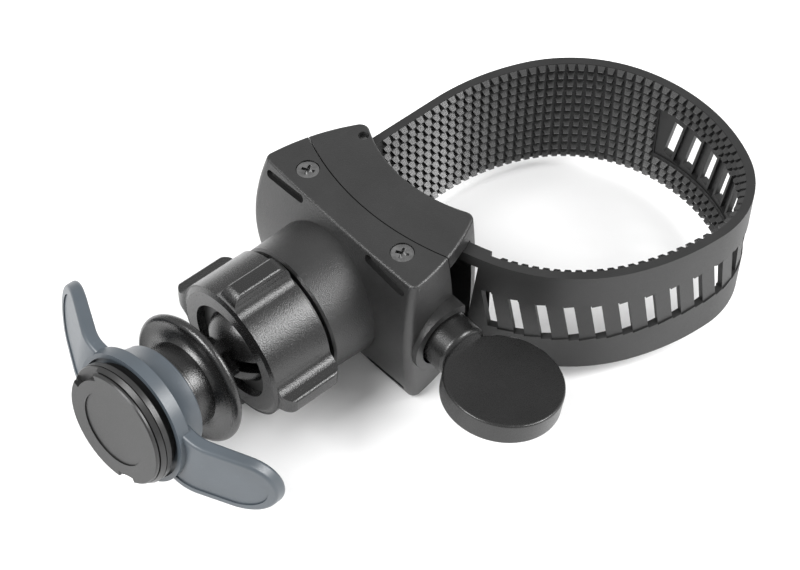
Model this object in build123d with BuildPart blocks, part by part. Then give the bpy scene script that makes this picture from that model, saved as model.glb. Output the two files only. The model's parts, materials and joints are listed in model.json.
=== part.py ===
"""Strap-on phone mount for a bicycle: a two-part casing on a slotted strap, a clamped ball joint
and a twist-lock head.

Frame: millimetres, +Z up. The origin is the centre of the strapped tube, level with the ball.
The head points along -X, the strap loops round on the +X side and the strap key sticks out along -Y.
"""
import os
from math import cos, radians, sin, sqrt, tan

from build123d import *

# ---- Driving dimensions -------------------------------------------------------------------------

# Casing
body_height = 38.8
front_x = -56.4            # middle of the front face, along its top edge
corner = (-55.8, 25.0)     # front corner, mirrored to the other end
end_bulge = (-44.5, 23.1)  # middle of an end face
back_corner = (-30.4, 16.9)
barrel, end_barrel = 3.2, 1.6  # how far the front and the ends swell at mid-height
saddle_x, saddle_radius = -36.8, 35.6
corner_radius, back_corner_radius = 1.8, 2.2
edge_radius = 0.7
seam_x, seam_radius = -49.0, 65.0  # arc that parts the front casing from the back casing
seam_gap = 0.13            # each side of that arc
cavity_front_x = -55.9
cavity_half_length = 19.4
cavity_half_height = 15.2
mouth_x = (-46.6, -38.8)   # opening for the strap in the end face
mouth_height = 32.2
slash_y, slash_z = 16.6, 17.2
slash_length, slash_width, slash_depth = 12.6, 2.0, 1.4

# Strap, seen from above: a straight run at the pin, then bends of (radius, turn)
strap_width = 31.0
strap_thickness = 2.0
strap_start = (-34.0, 16.2)
strap_lead = 20.6
strap_bends = [
    (57.0, 24.0),
    (36.5, 45.0),
    (42.0, 48.0),
    (22.0, 66.0),
    (62.0, 20.0),
    (42.0, 43.0),
    (61.6, 24.0),
]
strap_tail = 12.0          # straight run past the worm, to the free end
slot_pitch = 6.1
slot_length = 2.4          # along the strap
slot_height = 11.6
slot_lean = 10.0           # degrees, to match the worm's thread
slot_count = 18
slot_first = 83.7          # from the pinned end to the first slot
panel_start = 79.0         # inside, the toothless panel round the slots
panel_height, panel_depth = 14.6, 0.3
rung_depth = 0.35
groove_width, groove_depth = 2.0, 1.2
window_start, window_end = 191.9, 221.6  # opening at the free end, which lies round the worm
window_height = 25.0
end_rail_start, end_rail_depth = 188.8, 1.2
channel_play = 0.35

# Strap pin
pin_spot = (-35.4, 15.25)
pin_radius = 1.0
pin_length = 36.4
knuckle_radius = 2.2

# Casing screws
screw_spot = (-51.0, 15.65)
screw_head_radius = 2.5
screw_head_height = 2.2
screw_head_drop = 0.3      # below the casing's surface
screw_shank_radius = 1.5
screw_length = 8.0
lug_low, lug_high = 7.3, 15.0
lug_near, lug_far = 12.2, 19.0

# Key and worm
key_x = -49.0
hub_radius = 6.3
hub_inner_y, hub_outer_y = -21.6, -33.6
collar_radius, collar_bore = 8.8, 6.9
collar_end_y = -28.0
paddle_centre_y = -45.6
paddle_radius = 13.2
paddle_face_radius = 12.7
paddle_thickness = 5.4
dish_depth = 1.2
paddle_edge = 0.5
key_angle = 10.0           # the paddle's roll about the key's axis at rest
shaft_radius = 3.0
shaft_end_y = 22.8
worm_radius, worm_core = 6.6, 4.8
worm_start_y, worm_end_y = -18.0, 13.8
thread_margin = 2.2
clip_y, clip_thickness, clip_radius = 14.2, 0.8, 5.0
bush_radius, bush_start_y = 4.6, 19.6
worm_pin_radius = 0.9
pin_play = 0.05

# Ball clamp, about the X axis
ball_x = -80.0
ball_radius = 9.8
boss_rim_x, boss_rim_radius = -70.0, 15.7
spigot_radius, spigot_bore, spigot_end_x = 12.7, 10.9, -79.6
seat_floor_x, seat_end_x = -68.2, -79.4
clamp_ring_radius = 12.2
lip_reach = (0.1, 4.45)    # the clamp ring's two faces, in front of the ball's centre
nut_front_x, nut_rear_x = -86.5, -71.7
nut_radius = 16.3
nut_crest = 20.3           # radius over the grips
grip_crest_width, grip_clock = 4.2, 3.0
nut_mouth = 11.5
nut_wall = 2.0             # in front of the clamp ring
thread_play = 0.08

# Return spring in the lock ring, and the disc's screw
spring_start, spring_pocket_radius = 29.0, 11.4
coil_radius, wire_radius, coil_pitch = 10.3, 0.4, 1.05
disc_recess_start = 33.9   # where the lock ring opens to take the disc
pocket_floor, pocket_radius = 37.0, 4.2
disc_screw_radius, disc_screw_start, disc_screw_head = 1.6, 24.5, 4.0

# Head, about its own tilted axis; distances run from the ball's centre
head_yaw, head_pitch = -6.2, 9.3
flange_radius = 15.2
barrel_radius, journal_radius = 9.7, 9.0
journal_start, journal_end = 26.0, 34.5
ring_start, ring_end = 26.2, 35.5
ring_band_radius, ring_inner_radius = 15.2, 9.6
wing_front = 34.5
wing_tip, wing_width, wing_thickness = 33.4, 15.4, 3.3
wing_knee, wing_bend = 16.8, 12.0  # where a wing bends back, and the bend's radius
wing_sweep = 29.0
wing_clock = 9.0           # the wings' turn about the head's axis at rest
wing_rounding = 0.8
panel_inset, panel_recess = 1.7, 0.3  # sunken panel on a wing's front
disc_start, disc_end = 34.6, 40.2
disc_radius, disc_flange_radius, disc_waist_radius = 13.1, 13.9, 12.6
disc_flange_start, disc_flange_end = 36.8, 38.0
cap_radius, cap_thickness = 8.6, 1.0
notches = [(41.0, 20.0), (250.0, 11.0)]  # (clock, half angle), unlike so that a holder fits one way
notch_floor, notch_depth = 38.5, 1.6

half = body_height / 2
folder = "parts"
os.makedirs(folder, exist_ok=True)

ball_centre = Vector(ball_x, 0, 0)
head_direction = Vector(-1, tan(radians(head_yaw)), tan(radians(head_pitch))).normalized()
head_level = head_direction.cross(Vector(0, 0, 1)).normalized()
head_upwards = head_level.cross(head_direction)
head_axis = Axis(ball_centre, head_direction)
key_axis = Axis((key_x, 0, 0), (0, 1, 0))


# ---- Shared shapes ------------------------------------------------------------------------------


def polygon(points, plane=Plane.XY):
    with BuildSketch(plane) as sketch:
        with BuildLine():
            Polyline(*points, close=True)
        make_face()
    return sketch.sketch


def disc(radius, plane):
    with BuildSketch(plane) as sketch:
        Circle(radius)
    return sketch.sketch


def across_key(y):
    """Plane across the key's axis; extruding from it runs towards the far end (+Y)."""
    return Plane(origin=(key_x, y, 0), x_dir=(1, 0, 0), z_dir=(0, 1, 0))


def across_head(distance, clock=0.0):
    """Plane across the head's axis at this distance; its X runs level, turned upwards by clock."""
    outwards = head_level * cos(radians(clock)) + head_upwards * sin(radians(clock))
    return Plane(origin=ball_centre + head_direction * distance, x_dir=outwards, z_dir=head_direction)


def along_head(clock=0.0):
    """Plane holding the head's axis (its X), with +Y of it pointing out of the axis."""
    outwards = across_head(0, clock).x_dir
    return Plane(origin=ball_centre, x_dir=head_direction, z_dir=head_direction.cross(outwards))


def casing_outline(level, swell, end_swell):
    """Outline of both casings at this height, its front and its ends swollen by this much."""
    end = corner[1] + end_swell
    back = back_corner[1] + end_swell / 2
    middle = end_bulge[1] + end_swell
    with BuildSketch(Plane.XY.offset(level)) as outline:
        with BuildLine():
            ThreePointArc((corner[0] - swell, -end), (front_x - swell, 0), (corner[0] - swell, end))
            ThreePointArc((corner[0] - swell, end), (end_bulge[0], middle), (back_corner[0], back))
            Line((back_corner[0], back), (back_corner[0], -back))
            ThreePointArc((back_corner[0], -back), (end_bulge[0], -middle), (corner[0] - swell, -end))
        make_face()
    return outline.sketch


def casing_block():
    """Both casings as one barrel-sided block with the concave saddle."""
    with BuildPart() as block:
        loft(
            [casing_outline(-half, 0, 0), casing_outline(0, barrel, end_barrel), casing_outline(half, 0, 0)]
        )
        with Locations((saddle_x + saddle_radius, 0, 0)):
            Cylinder(saddle_radius, 2 * body_height, mode=Mode.SUBTRACT)
        upright = [edge for edge in block.edges() if edge.bounding_box().size.Z > body_height - 1]
        fillet([edge for edge in upright if edge.center().X < front_x + 3], radius=corner_radius)
        upright = [edge for edge in block.edges() if edge.bounding_box().size.Z > body_height - 1]
        fillet([edge for edge in upright if edge.center().X > saddle_x], radius=back_corner_radius)
        fillet(block.faces().filter_by(Axis.Z).edges(), radius=edge_radius)
    return block.part


def seam(shift):
    """The cylinder that parts the casings, a little larger or smaller."""
    with BuildPart(Location((seam_x + seam_radius, 0, 0))) as solid:
        Cylinder(seam_radius + shift, 2 * body_height)
    return solid.part


def strap_spans():
    """The route of the strap's outer face as (length, curvature) pairs."""
    bends = [(radius * radians(turn), 1 / radius) for radius, turn in strap_bends]
    return [(strap_lead, 0.0)] + bends + [(strap_tail, 0.0)]


strap_length = sum(length for length, curvature in strap_spans())


def strap_plane(distance):
    """Plane on the strap's outer face, this far from the pinned end, with X along the strap."""
    x, y = strap_start
    heading = 0.0
    for length, curvature in strap_spans():
        step = min(distance, length)
        turned = heading - step * curvature
        if curvature:
            x += (sin(heading) - sin(turned)) / curvature
            y += (cos(turned) - cos(heading)) / curvature
        else:
            x += step * cos(heading)
            y += step * sin(heading)
        heading = turned
        distance -= step
        if distance <= 0:
            break
    return Plane(origin=(x, y, 0), x_dir=(cos(heading), sin(heading), 0), z_dir=(0, 0, 1))


def strap_path(first, last, shift):
    """The strap's line between two distances from its pinned end, shifted outwards."""
    with BuildLine() as path:
        reached = 0.0
        for length, curvature in strap_spans():
            begin = max(first, reached)
            end = min(last, reached + length)
            reached += length
            if end - begin < 0.001:
                continue
            spots = [strap_plane(d) for d in (begin, (begin + end) / 2, end)]
            points = [spot.origin + spot.y_dir * shift for spot in spots]
            if curvature:
                ThreePointArc(*points)
            else:
                Line(points[0], points[2])
    return path.line


def strap_band(first, last, outer_shift, inner_shift, height):
    """A band along the strap as a solid, between these distances from the pinned end."""
    outer = strap_path(first, last, outer_shift)
    inner = strap_path(first, last, inner_shift)
    with BuildPart() as band:
        with BuildSketch(Plane.XY.offset(-height / 2)):
            with BuildLine():
                add(outer)
                add(inner)
                Line(outer @ 0, inner @ 0)
                Line(outer @ 1, inner @ 1)
            make_face()
        extrude(amount=height)
    return band.part


def keep(builder, name):
    builder.part.label = name
    export_step(builder.part, os.path.join(folder, name + ".step"))


# ---- Casing -------------------------------------------------------------------------------------

corners = [(screw_spot[0], side * screw_spot[1]) for side in (1, -1)]
levels = (1, -1)

with BuildPart() as front_casing:
    add(casing_block())
    add(seam(seam_gap), mode=Mode.SUBTRACT)
    # Round boss with a flared root, carrying the threaded spigot
    with BuildSketch(Plane.XZ):
        with BuildLine():
            Polyline(
                (spigot_end_x, 0),
                (-54.0, 0),
                (-54.0, 16.3),
                (boss_rim_x + 0.5, boss_rim_radius),
                (boss_rim_x, boss_rim_radius - 0.5),
                (boss_rim_x, spigot_radius),
                (boss_rim_x - 0.6, spigot_radius),
                (boss_rim_x - 0.6, spigot_radius + 1.9),
                (boss_rim_x - 1.0, spigot_radius + 1.9),
                (boss_rim_x - 1.0, spigot_radius),
                (spigot_end_x + 0.5, spigot_radius),
                (spigot_end_x, spigot_radius - 0.5),
                (spigot_end_x, 0),
            )
        make_face()
    revolve(axis=Axis.X)
    # Collar round the key's hub
    extrude(disc(collar_radius, across_key(collar_end_y)), amount=9)
    with Locations((cavity_front_x, 0, 0)):
        Box(
            20,
            2 * cavity_half_length,
            2 * cavity_half_height,
            align=(Align.MIN, Align.CENTER, Align.CENTER),
            mode=Mode.SUBTRACT,
        )
    extrude(disc(spigot_bore, Plane.YZ.offset(seat_floor_x)), amount=-20, mode=Mode.SUBTRACT)
    extrude(disc(collar_bore, across_key(collar_end_y - 1)), amount=5, mode=Mode.SUBTRACT)
    extrude(disc(hub_radius + 0.1, across_key(-25)), amount=8, mode=Mode.SUBTRACT)
    extrude(disc(bush_radius + 0.02, across_key(18)), amount=5.2, mode=Mode.SUBTRACT)
    # The collar is open towards the strap's mouth
    with Locations((-43.9, -30, 0)):
        Box(10, 20, 30, align=(Align.MIN, Align.CENTER, Align.CENTER), mode=Mode.SUBTRACT)
    # Screw holes, top and bottom
    for level in levels:
        for x, y in corners:
            deck = Plane(origin=(x, y, level * half), z_dir=(0, 0, level))
            extrude(disc(screw_head_radius + 0.15, deck), amount=-2.6, mode=Mode.SUBTRACT)
            extrude(disc(screw_shank_radius + 0.15, deck), amount=-6, mode=Mode.SUBTRACT)
    # Slashes along the front's top and bottom edges
    for level in levels:
        for side in (1, -1):
            slash = Plane(
                origin=(front_x - 0.5, side * slash_y, level * slash_z),
                x_dir=(0, side, -0.1 * level),
                z_dir=(-1, 0, 0.2 * level),
            )
            with BuildSketch(slash):
                SlotOverall(slash_length, slash_width)
            extrude(amount=slash_depth, both=True, mode=Mode.SUBTRACT)
keep(front_casing, "front_casing")

with BuildPart() as back_casing:
    add(casing_block())
    add(seam(-seam_gap), mode=Mode.INTERSECT)
    # Lugs that reach into the front casing and take the screws
    for level in levels:
        for side in (1, -1):
            with Locations((-54.6, side * (lug_near + lug_far) / 2, level * (lug_low + lug_high) / 2)):
                Box(
                    12,
                    lug_far - lug_near,
                    lug_high - lug_low,
                    align=(Align.MIN, Align.CENTER, Align.CENTER),
                )
    # Channel for the strap, room for the worm, the shaft and the hub
    channel_floor = -strap_thickness - end_rail_depth - channel_play
    add(
        strap_band(0, strap_length + 1.5, channel_play, channel_floor, strap_width + 0.6),
        mode=Mode.SUBTRACT,
    )
    extrude(disc(worm_radius + 0.5, across_key(-19)), amount=38, mode=Mode.SUBTRACT)
    extrude(disc(hub_radius + 0.5, across_key(-30)), amount=13, mode=Mode.SUBTRACT)
    extrude(disc(bush_radius + 0.4, across_key(14)), amount=12, mode=Mode.SUBTRACT)
    # Mouth where the strap goes in, clear of the collar
    with Locations((mouth_x[0], -27.0, 0)):
        Box(
            mouth_x[1] - mouth_x[0],
            18,
            mouth_height,
            align=(Align.MIN, Align.CENTER, Align.CENTER),
            mode=Mode.SUBTRACT,
        )
    # Pocket for the pinned end of the strap
    with Locations((pin_spot[0], pin_spot[1], 0)):
        Cylinder(knuckle_radius + 0.3, strap_width + 0.6, mode=Mode.SUBTRACT)
        Cylinder(pin_radius, pin_length, mode=Mode.SUBTRACT)
    for level in levels:
        deck = Plane(origin=(pin_spot[0], pin_spot[1], level * half), z_dir=(0, 0, level))
        extrude(disc(pin_radius + 0.2, deck), amount=-(half - pin_length / 2), mode=Mode.SUBTRACT)
        for x, y in corners:
            deck = Plane(origin=(x, y, level * half), z_dir=(0, 0, level))
            extrude(disc(screw_shank_radius, deck), amount=-half + 6, mode=Mode.SUBTRACT)
keep(back_casing, "back_casing")

with BuildPart() as casing_screws:
    for level in levels:
        for x, y in corners:
            top = level * (half - screw_head_drop)
            deck = Plane(origin=(x, y, top), z_dir=(0, 0, level))
            extrude(disc(screw_head_radius, deck), amount=-screw_head_height)
            extrude(disc(screw_shank_radius, deck), amount=-screw_head_height - screw_length)
            with BuildSketch(deck.rotated((0, 0, 30))):
                Rectangle(3.0, 0.75)
                Rectangle(0.75, 3.0)
            extrude(amount=-1.1, mode=Mode.SUBTRACT)
keep(casing_screws, "casing_screws")

# ---- Strap --------------------------------------------------------------------------------------

with BuildPart() as strap:
    add(strap_band(0, strap_length, 0, -strap_thickness, strap_width))
    # Thicker, toothless end that slides in the casing
    floor = -strap_thickness - end_rail_depth
    add(strap_band(end_rail_start, strap_length, -0.5, floor, strap_width))
    with Locations(pin_spot):
        Cylinder(knuckle_radius, strap_width)
        Cylinder(pin_radius + pin_play, strap_width, mode=Mode.SUBTRACT)
    # Toothless panel inside, with a groove behind each rung
    panel_end = slot_first + slot_count * slot_pitch - slot_pitch / 2
    panel_floor = panel_depth - strap_thickness
    panel = strap_band(panel_start, panel_end, panel_floor, -strap_thickness - 1, panel_height)
    add(panel, mode=Mode.SUBTRACT)
    slots = [strap_plane(slot_first + i * slot_pitch) for i in range(slot_count)]
    with Locations(*[slot * Location((0, 0, 0), (0, slot_lean, 0)) for slot in slots]):
        Box(slot_length, 3 * strap_thickness, slot_height, mode=Mode.SUBTRACT)
    rungs = [strap_plane(slot_first + (i + 0.5) * slot_pitch) for i in range(slot_count - 1)]
    with Locations(*[rung * Location((0, 0, 0), (0, slot_lean, 0)) for rung in rungs]):
        Box(slot_pitch - slot_length + 0.2, 2 * rung_depth, slot_height, mode=Mode.SUBTRACT)
    with Locations(*[rung * Location((0, -strap_thickness, 0), (0, slot_lean, 0)) for rung in rungs]):
        Box(groove_width, 2 * groove_depth, panel_height - 0.6, mode=Mode.SUBTRACT)
    # Opening at the free end, its near side leaning the other way
    opening = strap_band(window_start + 3, window_end, 2, -2 * strap_thickness - 2, window_height)
    add(opening, mode=Mode.SUBTRACT)
    side = strap_plane(window_start + 2.5)
    with BuildSketch(Plane(origin=side.origin, x_dir=side.x_dir, z_dir=-side.y_dir)):
        reach = window_height / 2
        with BuildLine():
            Polyline((2, -reach), (-1.2, -reach), (-3.8, reach), (2, reach), close=True)
        make_face()
    extrude(amount=5, both=True, mode=Mode.SUBTRACT)
keep(strap, "strap")

with BuildPart() as strap_pin:
    with Locations(pin_spot):
        Cylinder(pin_radius, pin_length)
    chamfer(strap_pin.edges(), length=0.2)
keep(strap_pin, "strap_pin")

# ---- Key and worm -------------------------------------------------------------------------------

worm_pin_y = worm_start_y + 3.0
worm_pin_plane = Plane(origin=(key_x, worm_pin_y, -8), z_dir=(0, 0, 1))


def paddle_block():
    """The key's round paddle, rolled about the key's axis and dished on both faces."""
    roll = radians(key_angle)
    upwards = Vector(sin(roll), 0, cos(roll))
    centre = Vector(key_x, paddle_centre_y, 0)
    lip = paddle_thickness / 2
    dish = lip - dish_depth
    dish_radius = (paddle_face_radius**2 + dish_depth**2) / (2 * dish_depth)
    with BuildPart() as block:
        # Section through the paddle's middle: X outwards, Y upwards
        with BuildSketch(Plane(origin=centre, x_dir=(0, -1, 0), z_dir=(-cos(roll), 0, sin(roll)))):
            with BuildLine():
                Line((0, -dish), (0, dish))
                RadiusArc((0, dish), (paddle_face_radius, lip), -dish_radius)
                RadiusArc((paddle_face_radius, lip), (paddle_radius, lip - paddle_edge), paddle_edge)
                Line((paddle_radius, lip - paddle_edge), (paddle_radius, paddle_edge - lip))
                RadiusArc((paddle_radius, paddle_edge - lip), (paddle_face_radius, -lip), paddle_edge)
                RadiusArc((paddle_face_radius, -lip), (0, -dish), -dish_radius)
            make_face()
        revolve(axis=Axis(centre, upwards))
    return block.part


with BuildPart() as key:
    extrude(disc(hub_radius, across_key(hub_outer_y)), amount=hub_inner_y - hub_outer_y)
    fillet(key.faces().sort_by(Axis.Y)[0].edges(), radius=1.2)
    add(paddle_block())
    extrude(disc(shaft_radius, across_key(hub_inner_y - 1)), amount=shaft_end_y - hub_inner_y + 1)
    # Groove for the clip and hole for the worm's pin
    with BuildSketch(across_key(clip_y)):
        Circle(shaft_radius + 1)
        Circle(shaft_radius - 0.5, mode=Mode.SUBTRACT)
    extrude(amount=clip_thickness, mode=Mode.SUBTRACT)
    extrude(disc(worm_pin_radius, worm_pin_plane), amount=16, mode=Mode.SUBTRACT)
keep(key, "key")

with BuildPart() as worm:
    extrude(disc(worm_core, across_key(worm_start_y)), amount=worm_end_y - worm_start_y)
    # One thread, as steep as the strap's slots are apart
    foot = Vector(key_x, worm_start_y + thread_margin, 0)
    rise = worm_end_y - worm_start_y - 2 * thread_margin
    crest = worm_radius - worm_core + 0.2
    with BuildLine():
        thread = Helix(slot_pitch, rise, worm_core - 0.2, center=foot, direction=(0, 1, 0))
    start = Plane(origin=thread @ 0, x_dir=(thread @ 0 - foot).normalized(), z_dir=thread % 0)
    with BuildSketch(start):
        with BuildLine():
            Polyline((-0.3, -1.5), (crest, -0.8), (crest, 0.8), (-0.3, 1.5), close=True)
        make_face()
    sweep(path=thread, is_frenet=True)
    extrude(disc(shaft_radius + pin_play, across_key(worm_start_y - 1)), amount=40, mode=Mode.SUBTRACT)
    extrude(disc(worm_pin_radius, worm_pin_plane), amount=16, mode=Mode.SUBTRACT)
keep(worm, "worm")

with BuildPart() as worm_pin:
    length = 2 * worm_core - 0.6
    middle = Plane(origin=(key_x, worm_pin_y, -length / 2), z_dir=(0, 0, 1))
    extrude(disc(worm_pin_radius, middle), amount=length)
keep(worm_pin, "worm_pin")

with BuildPart() as thrust_washer:
    with BuildSketch(across_key(-cavity_half_length + 0.1)):
        Circle(worm_radius)
        Circle(shaft_radius + pin_play, mode=Mode.SUBTRACT)
    extrude(amount=cavity_half_length + worm_start_y - 0.2)
keep(thrust_washer, "thrust_washer")

with BuildPart() as retaining_clip:
    with BuildSketch(across_key(clip_y + 0.02)):
        Circle(clip_radius)
        Circle(shaft_radius - 0.48, mode=Mode.SUBTRACT)
        with Locations((clip_radius / 2 + 1, 0)):
            Rectangle(clip_radius + 2, 3.6, mode=Mode.SUBTRACT)
    extrude(amount=clip_thickness - 0.04)
keep(retaining_clip, "retaining_clip")

with BuildPart() as end_bush:
    with BuildSketch(across_key(bush_start_y)):
        Circle(bush_radius)
        Circle(shaft_radius + pin_play, mode=Mode.SUBTRACT)
    extrude(amount=3.5)
keep(end_bush, "end_bush")

# ---- Ball clamp ---------------------------------------------------------------------------------

with BuildPart() as ball_seat:
    # A cup with a spherical socket
    outer = spigot_bore - 0.1
    floor = seat_floor_x - 0.2
    socket = ball_radius + pin_play
    lip_height = sqrt(socket**2 - (seat_end_x - ball_x) ** 2)
    with BuildSketch(Plane.XZ):
        with BuildLine():
            Polyline((seat_end_x, lip_height), (seat_end_x, outer), (floor, outer), (floor, 0))
            Line((floor, 0), (ball_x + socket, 0))
            RadiusArc((ball_x + socket, 0), (seat_end_x, lip_height), -socket)
        make_face()
    revolve(axis=Axis.X)
keep(ball_seat, "ball_seat")

with BuildPart() as clamp_ring:
    # Split ring with a spherical bore, pressed back by the nut
    near, far = lip_reach
    near_height = sqrt(socket**2 - near**2)
    far_height = sqrt(socket**2 - far**2)
    with BuildSketch(Plane.XZ):
        with BuildLine():
            Polyline(
                (ball_x - near, near_height),
                (ball_x - near, clamp_ring_radius),
                (ball_x - far + 0.6, clamp_ring_radius),
                (ball_x - far, clamp_ring_radius - 0.6),
                (ball_x - far, far_height),
            )
            RadiusArc((ball_x - far, far_height), (ball_x - near, near_height), socket)
        make_face()
    revolve(axis=Axis.X)
    with Locations((ball_x - 2, 0, -clamp_ring_radius + 2)):
        Box(8, 1.6, 8, mode=Mode.SUBTRACT)
keep(clamp_ring, "clamp_ring")


def grip_section():
    """Cross section of one grip, standing out along X."""
    with BuildSketch() as section:
        with BuildLine() as outline:
            top = Line((nut_crest, 0), (nut_crest, grip_crest_width / 2 - 0.9))
            edge = ThreePointArc(
                top @ 1,
                (nut_crest - 0.3, grip_crest_width / 2 - 0.25),
                (nut_crest - 1.0, grip_crest_width / 2),
            )
            flank = Line(edge @ 1, (nut_radius + 1.5, grip_crest_width / 2 + 0.35))
            foot = ThreePointArc(
                flank @ 1,
                (nut_radius + 0.35, grip_crest_width / 2 + 1.0),
                (nut_radius - 0.7, grip_crest_width / 2 + 2.6),
            )
            Polyline(foot @ 1, (nut_radius - 3, grip_crest_width / 2 + 2.6), (nut_radius - 3, 0))
            mirror(outline.line, about=Plane.XZ)
        make_face()
    return section.sketch


with BuildPart() as clamp_nut:
    # Four grips with flared feet, as one cross section
    with BuildSketch(Plane.YZ.offset(nut_rear_x)):
        Circle(nut_radius)
        for turn_number in range(4):
            with Locations(Rotation(0, 0, grip_clock + 90 * turn_number)):
                add(grip_section())
    extrude(amount=nut_front_x - nut_rear_x)
    with BuildSketch(Plane.XZ):
        with BuildLine():
            Polyline(
                (nut_rear_x, 0),
                (nut_front_x, 0),
                (nut_front_x, nut_radius - 1.4),
                (nut_front_x + 0.5, nut_radius - 0.3),
            )
            ThreePointArc(
                (nut_front_x + 0.5, nut_radius - 0.3),
                (nut_front_x + 0.9, nut_crest - 1.0),
                (nut_front_x + 2.3, nut_crest),
            )
            Line((nut_front_x + 2.3, nut_crest), (nut_rear_x - 2.3, nut_crest))
            ThreePointArc(
                (nut_rear_x - 2.3, nut_crest),
                (nut_rear_x - 0.7, nut_crest - 0.9),
                (nut_rear_x, nut_radius),
            )
            Line((nut_rear_x, nut_radius), (nut_rear_x, 0))
        make_face()
    revolve(axis=Axis.X, mode=Mode.INTERSECT)
    extrude(disc(nut_mouth, Plane.YZ.offset(nut_front_x)), amount=20, mode=Mode.SUBTRACT)
    ring_pocket = Plane.YZ.offset(nut_front_x + nut_wall)
    extrude(disc(clamp_ring_radius + 0.1, ring_pocket), amount=20, mode=Mode.SUBTRACT)
    threaded = Plane.YZ.offset(ball_x)
    extrude(disc(spigot_radius + thread_play, threaded), amount=20, mode=Mode.SUBTRACT)
keep(clamp_nut, "clamp_nut")

# ---- Head ---------------------------------------------------------------------------------------

with BuildPart() as ball_stud:
    # Flange, barrel and journal in one turning
    with BuildSketch(along_head()):
        with BuildLine():
            Polyline((16.4, 0), (16.4, 5.6), (17.3, 8.0), (17.8, 13.6))
            ThreePointArc((17.8, 13.6), (18.8, flange_radius), (19.9, 14.3))
            ThreePointArc((19.9, 14.3), (19.2, 12.2), (20.6, barrel_radius))
            Polyline(
                (20.6, barrel_radius),
                (24.6, barrel_radius),
                (25.0, barrel_radius + 0.5),
                (journal_start, barrel_radius + 0.5),
                (journal_start, journal_radius),
                (journal_end, journal_radius),
                (journal_end, 0),
                (16.4, 0),
            )
        make_face()
    revolve(axis=head_axis)
    with Locations(ball_centre):
        Sphere(ball_radius)
    # Ribbed neck
    with BuildSketch(across_head(6.0, wing_clock)):
        Rectangle(9.6, 2.6)
        Rectangle(2.6, 9.6)
        Circle(2.6)
    extrude(amount=11)
    # The ball is cored out beside the neck
    for side in (1, -1):
        middle = across_head(1.5)
        spot = middle.origin + middle.x_dir * side * 7.5
        with BuildSketch(Plane(origin=spot, x_dir=head_level, z_dir=head_direction)):
            Rectangle(8.6, 3.2)
        extrude(amount=7.5, both=True, mode=Mode.SUBTRACT)
    extrude(disc(1.7, across_head(journal_end)), amount=-11, mode=Mode.SUBTRACT)
keep(ball_stud, "ball_stud")


def wing_pair(thickness, inset):
    """Front layer of both swept-back wings, this thick, inside the wings' outline by the inset."""
    drop = (wing_tip - wing_knee) * tan(radians(wing_sweep))
    knee = wing_knee - thickness * tan(radians(wing_sweep / 2))
    with BuildPart() as pair:
        for turned in (0, 180):
            with BuildSketch(along_head(wing_clock + turned)):
                with BuildLine():
                    front = FilletPolyline(
                        (wing_front, ring_inner_radius),
                        (wing_front, wing_knee),
                        (wing_front - drop, wing_tip),
                        radius=wing_bend,
                    )
                    back = FilletPolyline(
                        (wing_front - thickness, ring_inner_radius),
                        (wing_front - thickness, knee),
                        (wing_front - drop - thickness, wing_tip),
                        radius=wing_bend - thickness,
                    )
                    Line(front @ 0, back @ 0)
                    Line(front @ 1, back @ 1)
                make_face()
            extrude(amount=wing_width / 2, both=True)
        with BuildSketch(across_head(ring_start - 5, wing_clock)):
            SlotOverall(2 * (wing_tip - inset) - 0.2, wing_width - 2 * inset)
        extrude(amount=ring_end - ring_start + 10, mode=Mode.INTERSECT)
    return pair.part


with BuildPart() as lock_ring:
    add(wing_pair(wing_thickness, 0))
    fillet([edge for edge in lock_ring.edges() if edge.length > wing_thickness + 0.3], radius=wing_rounding)
    add(wing_pair(panel_recess, panel_inset), mode=Mode.SUBTRACT)
    with BuildSketch(along_head()):
        with BuildLine():
            Polyline((ring_start, ring_inner_radius), (ring_start, 11.6), (ring_start + 0.5, 12.2))
            ThreePointArc((ring_start + 0.5, 12.2), (29.6, 12.9), (32.3, 14.4))
            Polyline((32.3, 14.4), (32.6, ring_band_radius), (ring_end, ring_band_radius))
            Line((ring_end, ring_band_radius), (ring_end, ring_inner_radius))
            Line((ring_end, ring_inner_radius), (ring_start, ring_inner_radius))
        make_face()
    revolve(axis=head_axis)
    extrude(disc(journal_radius + 0.08, across_head(ring_start - 1)), amount=20, mode=Mode.SUBTRACT)
    extrude(disc(spring_pocket_radius, across_head(spring_start)), amount=10, mode=Mode.SUBTRACT)
    extrude(disc(disc_flange_radius + 0.25, across_head(disc_recess_start)), amount=10, mode=Mode.SUBTRACT)
keep(lock_ring, "lock_ring")

with BuildPart() as lock_spring:
    for turn_number in range(4):
        spot = across_head(spring_start + 0.8 + turn_number * coil_pitch)
        with Locations(spot.location):
            Torus(coil_radius, wire_radius)
keep(lock_spring, "lock_spring")

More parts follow.
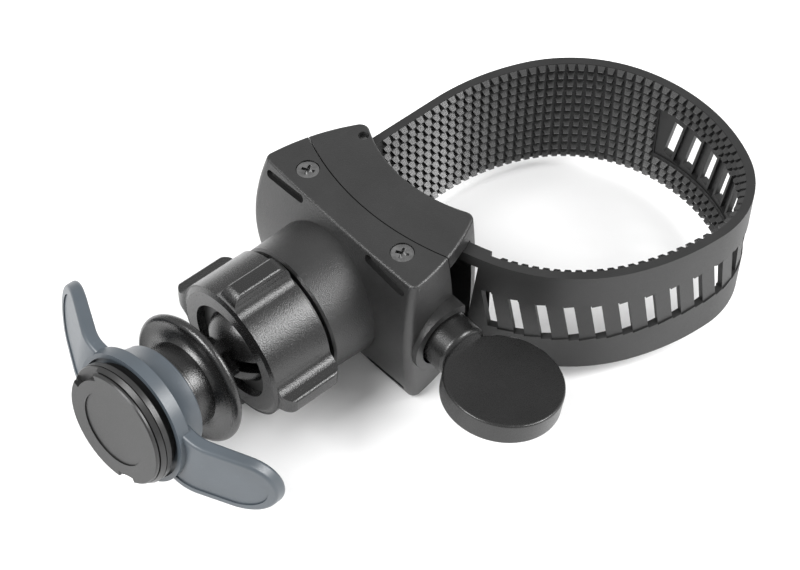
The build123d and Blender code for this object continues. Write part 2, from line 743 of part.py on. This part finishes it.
with BuildPart() as interface_disc:
    profile = [
        (disc_start, 2.0),
        (disc_start, disc_waist_radius),
        (disc_flange_start, disc_waist_radius),
        (disc_flange_start, disc_flange_radius),
        (disc_flange_end, disc_flange_radius),
        (disc_flange_end, disc_flange_radius - 0.3),
        (disc_flange_end + 0.25, disc_flange_radius - 0.3),
        (disc_flange_end + 0.25, disc_flange_radius),
        (disc_end - 1.0, disc_radius + 0.2),
        (disc_end - 1.0, disc_radius - 0.5),
        (disc_end - 0.75, disc_radius - 0.5),
        (disc_end - 0.75, disc_radius),
        (disc_end - 0.3, disc_radius),
        (disc_end, disc_radius - 0.3),
        (disc_end, cap_radius + 0.05),
        (disc_end - cap_thickness - 0.35, cap_radius + 0.05),
        (disc_end - cap_thickness - 0.35, pocket_radius),
        (pocket_floor, pocket_radius),
        (pocket_floor, 2.0),
    ]
    revolve(polygon(profile, along_head()), axis=head_axis)
    # Two bayonet notches in the front plate
    for clock, half_angle in notches:
        with BuildSketch(across_head(notch_floor, clock)):
            with BuildLine():
                CenterArc((0, 0), 20, -half_angle, 2 * half_angle)
                CenterArc((0, 0), disc_radius - notch_depth, -half_angle, 2 * half_angle)
                for side in (-half_angle, half_angle):
                    across = Vector(cos(radians(side)), sin(radians(side)))
                    Line(across * 20, across * (disc_radius - notch_depth))
            make_face()
        extrude(amount=3, mode=Mode.SUBTRACT)
keep(interface_disc, "interface_disc")

with BuildPart() as centre_cap:
    extrude(disc(cap_radius, across_head(disc_end - cap_thickness - 0.3)), amount=cap_thickness)
keep(centre_cap, "centre_cap")

with BuildPart() as disc_screw:
    head_start = pocket_floor + 0.05
    head_end = head_start + 1.6
    extrude(disc(disc_screw_radius, across_head(disc_screw_start)), amount=12.6)
    extrude(disc(disc_screw_head, across_head(head_start)), amount=head_end - head_start)
    with BuildSketch(across_head(head_end)):
        Rectangle(4.4, 1.0)
        Rectangle(1.0, 4.4)
    extrude(amount=-0.9, mode=Mode.SUBTRACT)
keep(disc_screw, "disc_screw")
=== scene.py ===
"""A strap-on phone mount for a bicycle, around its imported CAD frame. Metres, +Z up."""
import json
from math import cos, radians, sin

import bpy
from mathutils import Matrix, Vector


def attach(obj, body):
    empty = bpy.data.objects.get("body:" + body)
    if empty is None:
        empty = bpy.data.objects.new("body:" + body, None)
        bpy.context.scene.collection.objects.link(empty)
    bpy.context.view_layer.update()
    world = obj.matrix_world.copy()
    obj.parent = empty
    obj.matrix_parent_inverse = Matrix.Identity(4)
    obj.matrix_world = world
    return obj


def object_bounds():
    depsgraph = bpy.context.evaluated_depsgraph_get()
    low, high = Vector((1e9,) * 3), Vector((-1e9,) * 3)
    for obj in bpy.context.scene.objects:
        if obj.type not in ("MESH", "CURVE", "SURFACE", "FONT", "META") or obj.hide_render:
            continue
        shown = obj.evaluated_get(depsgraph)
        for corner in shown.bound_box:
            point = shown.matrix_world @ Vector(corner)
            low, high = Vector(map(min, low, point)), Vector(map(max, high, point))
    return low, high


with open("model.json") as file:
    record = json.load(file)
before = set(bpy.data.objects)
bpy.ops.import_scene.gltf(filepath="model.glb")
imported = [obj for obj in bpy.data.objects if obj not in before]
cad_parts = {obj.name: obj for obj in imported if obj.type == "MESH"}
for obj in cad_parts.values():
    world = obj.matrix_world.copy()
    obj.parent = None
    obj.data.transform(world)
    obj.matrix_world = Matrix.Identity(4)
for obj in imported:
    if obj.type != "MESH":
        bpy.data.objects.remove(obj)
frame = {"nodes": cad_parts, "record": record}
cad_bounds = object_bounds()

MM = 0.001


# ---- Materials ----------------------------------------------------------------------------------

# The Mix node's sockets when it mixes colours
MIX_FACTOR, MIX_A, MIX_B, MIX_RESULT = 0, 6, 7, 2

CLOUD_SCALE, CLOUD_DETAIL = 90.0, 3.0
FINE_DETAIL, FINE_ROUGH = 2.0, 0.5                        # noise of the grain and the scuffs
SCUFF_STRETCH = (40.0, 1400.0, 900.0)
SCUFF_TURN = (0.4, 0.3, 0.7)
SCUFF_SHARE, SCUFF_FROM, SCUFF_TO = 0.35, 0.68, 0.78      # how strong, and which peaks of the noise
SCUFF_LIGHTER = 1.5
SHEEN_BELOW, SHEEN_ABOVE = 0.05, 0.06
PLASTIC_BUMP = 0.5

MOTTLE_SCALE, MOTTLE_DETAIL = 700.0, 5.0
STEEL_LIGHTER = 1.8
STEEL_SHEEN_BELOW, STEEL_SHEEN_ABOVE = 0.08, 0.1
STEEL_BUMP, STEEL_DEPTH = 0.3, 0.00003


def link(tree, source, target):
    tree.links.new(source, target)


def noise(tree, coords, scale, detail, rough=0.6):
    node = tree.nodes.new("ShaderNodeTexNoise")
    node.inputs["Scale"].default_value = scale
    node.inputs["Detail"].default_value = detail
    node.inputs["Roughness"].default_value = rough
    link(tree, coords, node.inputs["Vector"])
    return node.outputs["Fac"]


def ramp(tree, value, low, high, from_low=0.3, from_high=0.7):
    """The value with from_low..from_high stretched over low..high, and held at those ends."""
    node = tree.nodes.new("ShaderNodeMapRange")
    node.inputs["From Min"].default_value = from_low
    node.inputs["From Max"].default_value = from_high
    node.inputs["To Min"].default_value = low
    node.inputs["To Max"].default_value = high
    link(tree, value, node.inputs["Value"])
    return node.outputs["Result"]


def mix(tree, factor, a, b):
    """Two colours mixed by the factor, each one either a plain colour or a socket."""
    node = tree.nodes.new("ShaderNodeMix")
    node.data_type = "RGBA"
    for index, value in ((MIX_A, a), (MIX_B, b)):
        if isinstance(value, tuple):
            node.inputs[index].default_value = value
        else:
            link(tree, value, node.inputs[index])
    link(tree, factor, node.inputs[MIX_FACTOR])
    return node.outputs[MIX_RESULT]


def bump(tree, shader, height, strength, depth):
    node = tree.nodes.new("ShaderNodeBump")
    node.inputs["Strength"].default_value = strength
    node.inputs["Distance"].default_value = depth
    link(tree, height, node.inputs["Height"])
    link(tree, node.outputs["Normal"], shader.inputs["Normal"])


def grey(level, blue=0.0):
    """A neutral colour, or a bluish one: blue raises blue, and green by half as much."""
    return (level, level * (1 + 0.5 * blue), level * (1 + blue), 1.0)


def start_material(name):
    """A new material with its tree, its shader and the object's own coordinates."""
    material = bpy.data.materials.new(name)
    material.use_nodes = True
    tree = material.node_tree
    coords = tree.nodes.new("ShaderNodeTexCoord").outputs["Object"]
    return material, tree, tree.nodes["Principled BSDF"], coords


def moulded(name, dark, light, roughness, grain, depth, specular=0.5, blue=0.0):
    """Moulded plastic: fine grain, faint clouding of tone, uneven sheen and hair-fine scuffs."""
    material, tree, shader, coords = start_material(name)
    cloud = noise(tree, coords, CLOUD_SCALE, CLOUD_DETAIL)
    speck = noise(tree, coords, grain, FINE_DETAIL, FINE_ROUGH)
    tone = mix(tree, ramp(tree, cloud, 0.0, 1.0), grey(dark, blue), grey(light, blue))
    stretch = tree.nodes.new("ShaderNodeMapping")
    stretch.inputs["Scale"].default_value = SCUFF_STRETCH
    stretch.inputs["Rotation"].default_value = SCUFF_TURN
    link(tree, coords, stretch.inputs["Vector"])
    hairs = noise(tree, stretch.outputs["Vector"], 1.0, FINE_DETAIL, FINE_ROUGH)
    scuffs = ramp(tree, hairs, 0.0, SCUFF_SHARE, SCUFF_FROM, SCUFF_TO)
    colour = mix(tree, scuffs, tone, grey(light * SCUFF_LIGHTER, blue))
    sheen = ramp(tree, speck, roughness - SHEEN_BELOW, roughness + SHEEN_ABOVE)
    link(tree, colour, shader.inputs["Base Color"])
    link(tree, sheen, shader.inputs["Roughness"])
    shader.inputs["Specular IOR Level"].default_value = specular
    bump(tree, shader, speck, PLASTIC_BUMP, depth)
    return material


def steel(name, level, roughness):
    """Blackened steel with fine mottling in its tone, sheen and surface."""
    material, tree, shader, coords = start_material(name)
    mottle = noise(tree, coords, MOTTLE_SCALE, MOTTLE_DETAIL)
    tone = mix(tree, ramp(tree, mottle, 0.0, 1.0), grey(level), grey(level * STEEL_LIGHTER))
    sheen = ramp(tree, mottle, roughness - STEEL_SHEEN_BELOW, roughness + STEEL_SHEEN_ABOVE)
    link(tree, tone, shader.inputs["Base Color"])
    link(tree, sheen, shader.inputs["Roughness"])
    shader.inputs["Metallic"].default_value = 1.0
    bump(tree, shader, mottle, STEEL_BUMP, STEEL_DEPTH)
    return material


casing_plastic = moulded("casing_plastic", 0.010, 0.015, 0.33, 4200.0, 0.00020, specular=0.6)
strap_plastic = moulded("strap_plastic", 0.010, 0.015, 0.46, 4200.0, 0.00004, specular=0.4)
tooth_plastic = moulded("tooth_plastic", 0.010, 0.016, 0.24, 4200.0, 0.00002, specular=0.8)
satin_plastic = moulded("satin_plastic", 0.010, 0.014, 0.36, 4200.0, 0.00002)
key_plastic = moulded("key_plastic", 0.007, 0.010, 0.28, 4800.0, 0.00005, specular=0.5)
glossy_plastic = moulded("glossy_plastic", 0.006, 0.009, 0.24, 4200.0, 0.00010, specular=0.65)
grey_plastic = moulded("grey_plastic", 0.045, 0.054, 0.38, 5000.0, 0.00002, specular=0.6, blue=0.45)
bearing_plastic = moulded("bearing_plastic", 0.42, 0.5, 0.4, 1500.0, 0.00003)
dark_steel = steel("dark_steel", 0.16, 0.26)

# The finish of each node in sight, and of the others by their slot in the record
node_finishes = {
    "front_casing": casing_plastic,
    "back_casing": casing_plastic,
    "clamp_nut": glossy_plastic,
    "strap": strap_plastic,
    "key": key_plastic,
    "ball_stud": glossy_plastic,
    "interface_disc": satin_plastic,
    "centre_cap": satin_plastic,
    "clamp_ring": satin_plastic,
    "lock_ring": grey_plastic,
}
slot_finishes = {"bearing_plastic": bearing_plastic, "dark_steel": dark_steel}
slot_names = {part["node"]: part["material_slot"] for part in frame["record"]["subparts"]}
for node in frame["nodes"]:
    obj = bpy.data.objects[node]
    finish = node_finishes.get(node) or slot_finishes[slot_names[node]]
    if not obj.material_slots:
        obj.data.materials.append(finish)
    for slot in obj.material_slots:
        slot.link = "OBJECT"
        slot.material = finish


# ---- Strap teeth --------------------------------------------------------------------------------

# Millimetres. The strap's outer face, seen from above: a straight lead, then bends of
# (radius, turn in degrees)
STRAP_START = (-34.0, 16.2)
STRAP_LEAD = 20.6
STRAP_BENDS = [
    (57.0, 24.0),
    (36.5, 45.0),
    (42.0, 48.0),
    (22.0, 66.0),
    (62.0, 20.0),
    (42.0, 43.0),
    (61.6, 24.0),
]
STRAP_THICKNESS = 2.0
TOOTH_FIRST, TOOTH_LAST, TOOTH_PITCH = 4.2, 187.6, 2.45   # along the strap
TOOTH_TOP, ROW_PITCH, ROWS = 15.45, 2.65, 12
TOOTH_REACH, TOOTH_BASE, TOOTH_TIP = 1.25, 1.9, 1.2
TOOTH_TALL, TOOTH_ROOT = 1.8, 0.15                        # the root is sunk into the strap
TIP_UPPER, TIP_LOWER, TIP_BACK = 0.8, 1.15, 0.1           # the lower edge of the tip stands back
PANEL_START, PANEL_HALF = 79.0, 7.3                       # the toothless panel round the slots
PANEL_GAP = 1


def strap_frame(distance):
    """The strap's outer face this far from its pinned end: point, heading and outward side."""
    x, y = STRAP_START
    heading = 0.0
    bends = [(radius * radians(turn), 1 / radius) for radius, turn in STRAP_BENDS]
    for length, curvature in [(STRAP_LEAD, 0.0)] + bends:
        step = min(distance, length)
        turned = heading - step * curvature
        if curvature:
            x += (sin(heading) - sin(turned)) / curvature
            y += (cos(turned) - cos(heading)) / curvature
        else:
            x += step * cos(heading)
            y += step * sin(heading)
        heading = turned
        distance -= step
        if distance <= 0:
            break
    along = Vector((cos(heading), sin(heading), 0))
    return Vector((x, y, 0)), along, Vector((-along.y, along.x, 0))


def add_mesh(name, points, faces):
    mesh = bpy.data.meshes.new(name)
    mesh.from_pydata(points, [], faces)
    mesh.update()
    obj = bpy.data.objects.new(name, mesh)
    bpy.context.scene.collection.objects.link(obj)
    return obj


def strap_teeth():
    """Rows of wedge teeth on the strap's inner side, as one mesh."""
    points, faces = [], []
    # Each tooth's section as (reach off the strap, drop below its top, half width)
    section = (
        (-TOOTH_ROOT, 0.0, TOOTH_BASE / 2),
        (TOOTH_REACH, TIP_UPPER, TOOTH_TIP / 2),
        (TOOTH_REACH - TIP_BACK, TIP_LOWER, TOOTH_TIP / 2),
        (-TOOTH_ROOT, TOOTH_TALL, TOOTH_BASE / 2),
    )
    rim = len(section)
    columns = int((TOOTH_LAST - TOOTH_FIRST) / TOOTH_PITCH) + 1
    for column in range(columns):
        distance = TOOTH_FIRST + column * TOOTH_PITCH
        spot, along, outward = strap_frame(distance)
        for row in range(ROWS):
            top = TOOTH_TOP - row * ROW_PITCH
            beside_panel = top > -PANEL_HALF and top - TOOTH_TALL < PANEL_HALF
            if distance > PANEL_START - PANEL_GAP and beside_panel:
                continue
            first = len(points)
            for reach, drop, half_width in section:
                base = spot - outward * (STRAP_THICKNESS + reach) + Vector((0, 0, top - drop))
                points += [(base - along * half_width) * MM, (base + along * half_width) * MM]
            for i in range(rim):
                j = (i + 1) % rim
                faces.append((first + 2 * i, first + 2 * i + 1, first + 2 * j + 1, first + 2 * j))
            faces.append(tuple(first + 2 * i for i in reversed(range(rim))))
            faces.append(tuple(first + 2 * i + 1 for i in range(rim)))
    return add_mesh("strap_teeth", points, faces)


teeth = strap_teeth()
teeth.data.materials.append(tooth_plastic)
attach(teeth, "casing")


# ---- Floor, light and camera --------------------------------------------------------------------

FLOOR_REACH, FLOOR_GAP = 4.0, 0.0002
FLOOR_LEVEL, FLOOR_ROUGHNESS, FLOOR_SPECULAR = 0.9, 0.7, 0.1
WORLD_STRENGTH = 0.72
LAMP_AIM = Vector((-0.04, 0, 0))
LAMP_DISTANCE, LAMP_SIZE, LAMP_WATTS = 0.9, 0.45, 9.0
CAMERA_SPOT = (-0.2280, -0.2182, 0.3436)
CAMERA_BACKWARDS = (-0.411, -0.472, 0.780)

corners = [(-1, -1), (1, -1), (1, 1), (-1, 1)]
floor_corners = [(FLOOR_REACH * x, FLOOR_REACH * y, 0) for x, y in corners]
floor = add_mesh("floor", floor_corners, [(0, 1, 2, 3)])
floor.location = (0, 0, cad_bounds[0][2] - FLOOR_GAP)
floor_white, _, floor_shader, _ = start_material("floor_white")
floor_shader.inputs["Base Color"].default_value = grey(FLOOR_LEVEL)
floor_shader.inputs["Roughness"].default_value = FLOOR_ROUGHNESS
floor_shader.inputs["Specular IOR Level"].default_value = FLOOR_SPECULAR
floor.data.materials.append(floor_white)

world = bpy.data.worlds.new("studio")
bpy.context.scene.world = world
world.use_nodes = True
sky = world.node_tree.nodes["Background"]
sky.inputs["Color"].default_value = (1, 1, 1, 1)
sky.inputs["Strength"].default_value = WORLD_STRENGTH
bpy.context.scene.view_settings.view_transform = "Standard"
bpy.context.scene.view_settings.look = "None"


def softbox(name, direction):
    """A square area light in this direction from the object, facing it."""
    data = bpy.data.lights.new(name, "AREA")
    data.size = LAMP_SIZE
    data.energy = LAMP_WATTS
    lamp = bpy.data.objects.new(name, data)
    towards = Vector(direction).normalized()
    lamp.location = LAMP_AIM + towards * LAMP_DISTANCE
    lamp.rotation_euler = towards.to_track_quat("Z", "Y").to_euler()
    bpy.context.scene.collection.objects.link(lamp)


softbox("box_left", (-0.65, 0.08, 0.75))
softbox("box_right", (0.52, -0.60, 0.62))

camera_data = bpy.data.cameras.new("camera")
camera_data.lens = 90.0
camera_data.sensor_width = 36.0
camera_data.clip_start = 0.01
camera = bpy.data.objects.new("camera", camera_data)
camera.location = CAMERA_SPOT
camera.rotation_euler = Vector(CAMERA_BACKWARDS).to_track_quat("Z", "Y").to_euler()
bpy.context.scene.collection.objects.link(camera)
bpy.context.scene.camera = camera
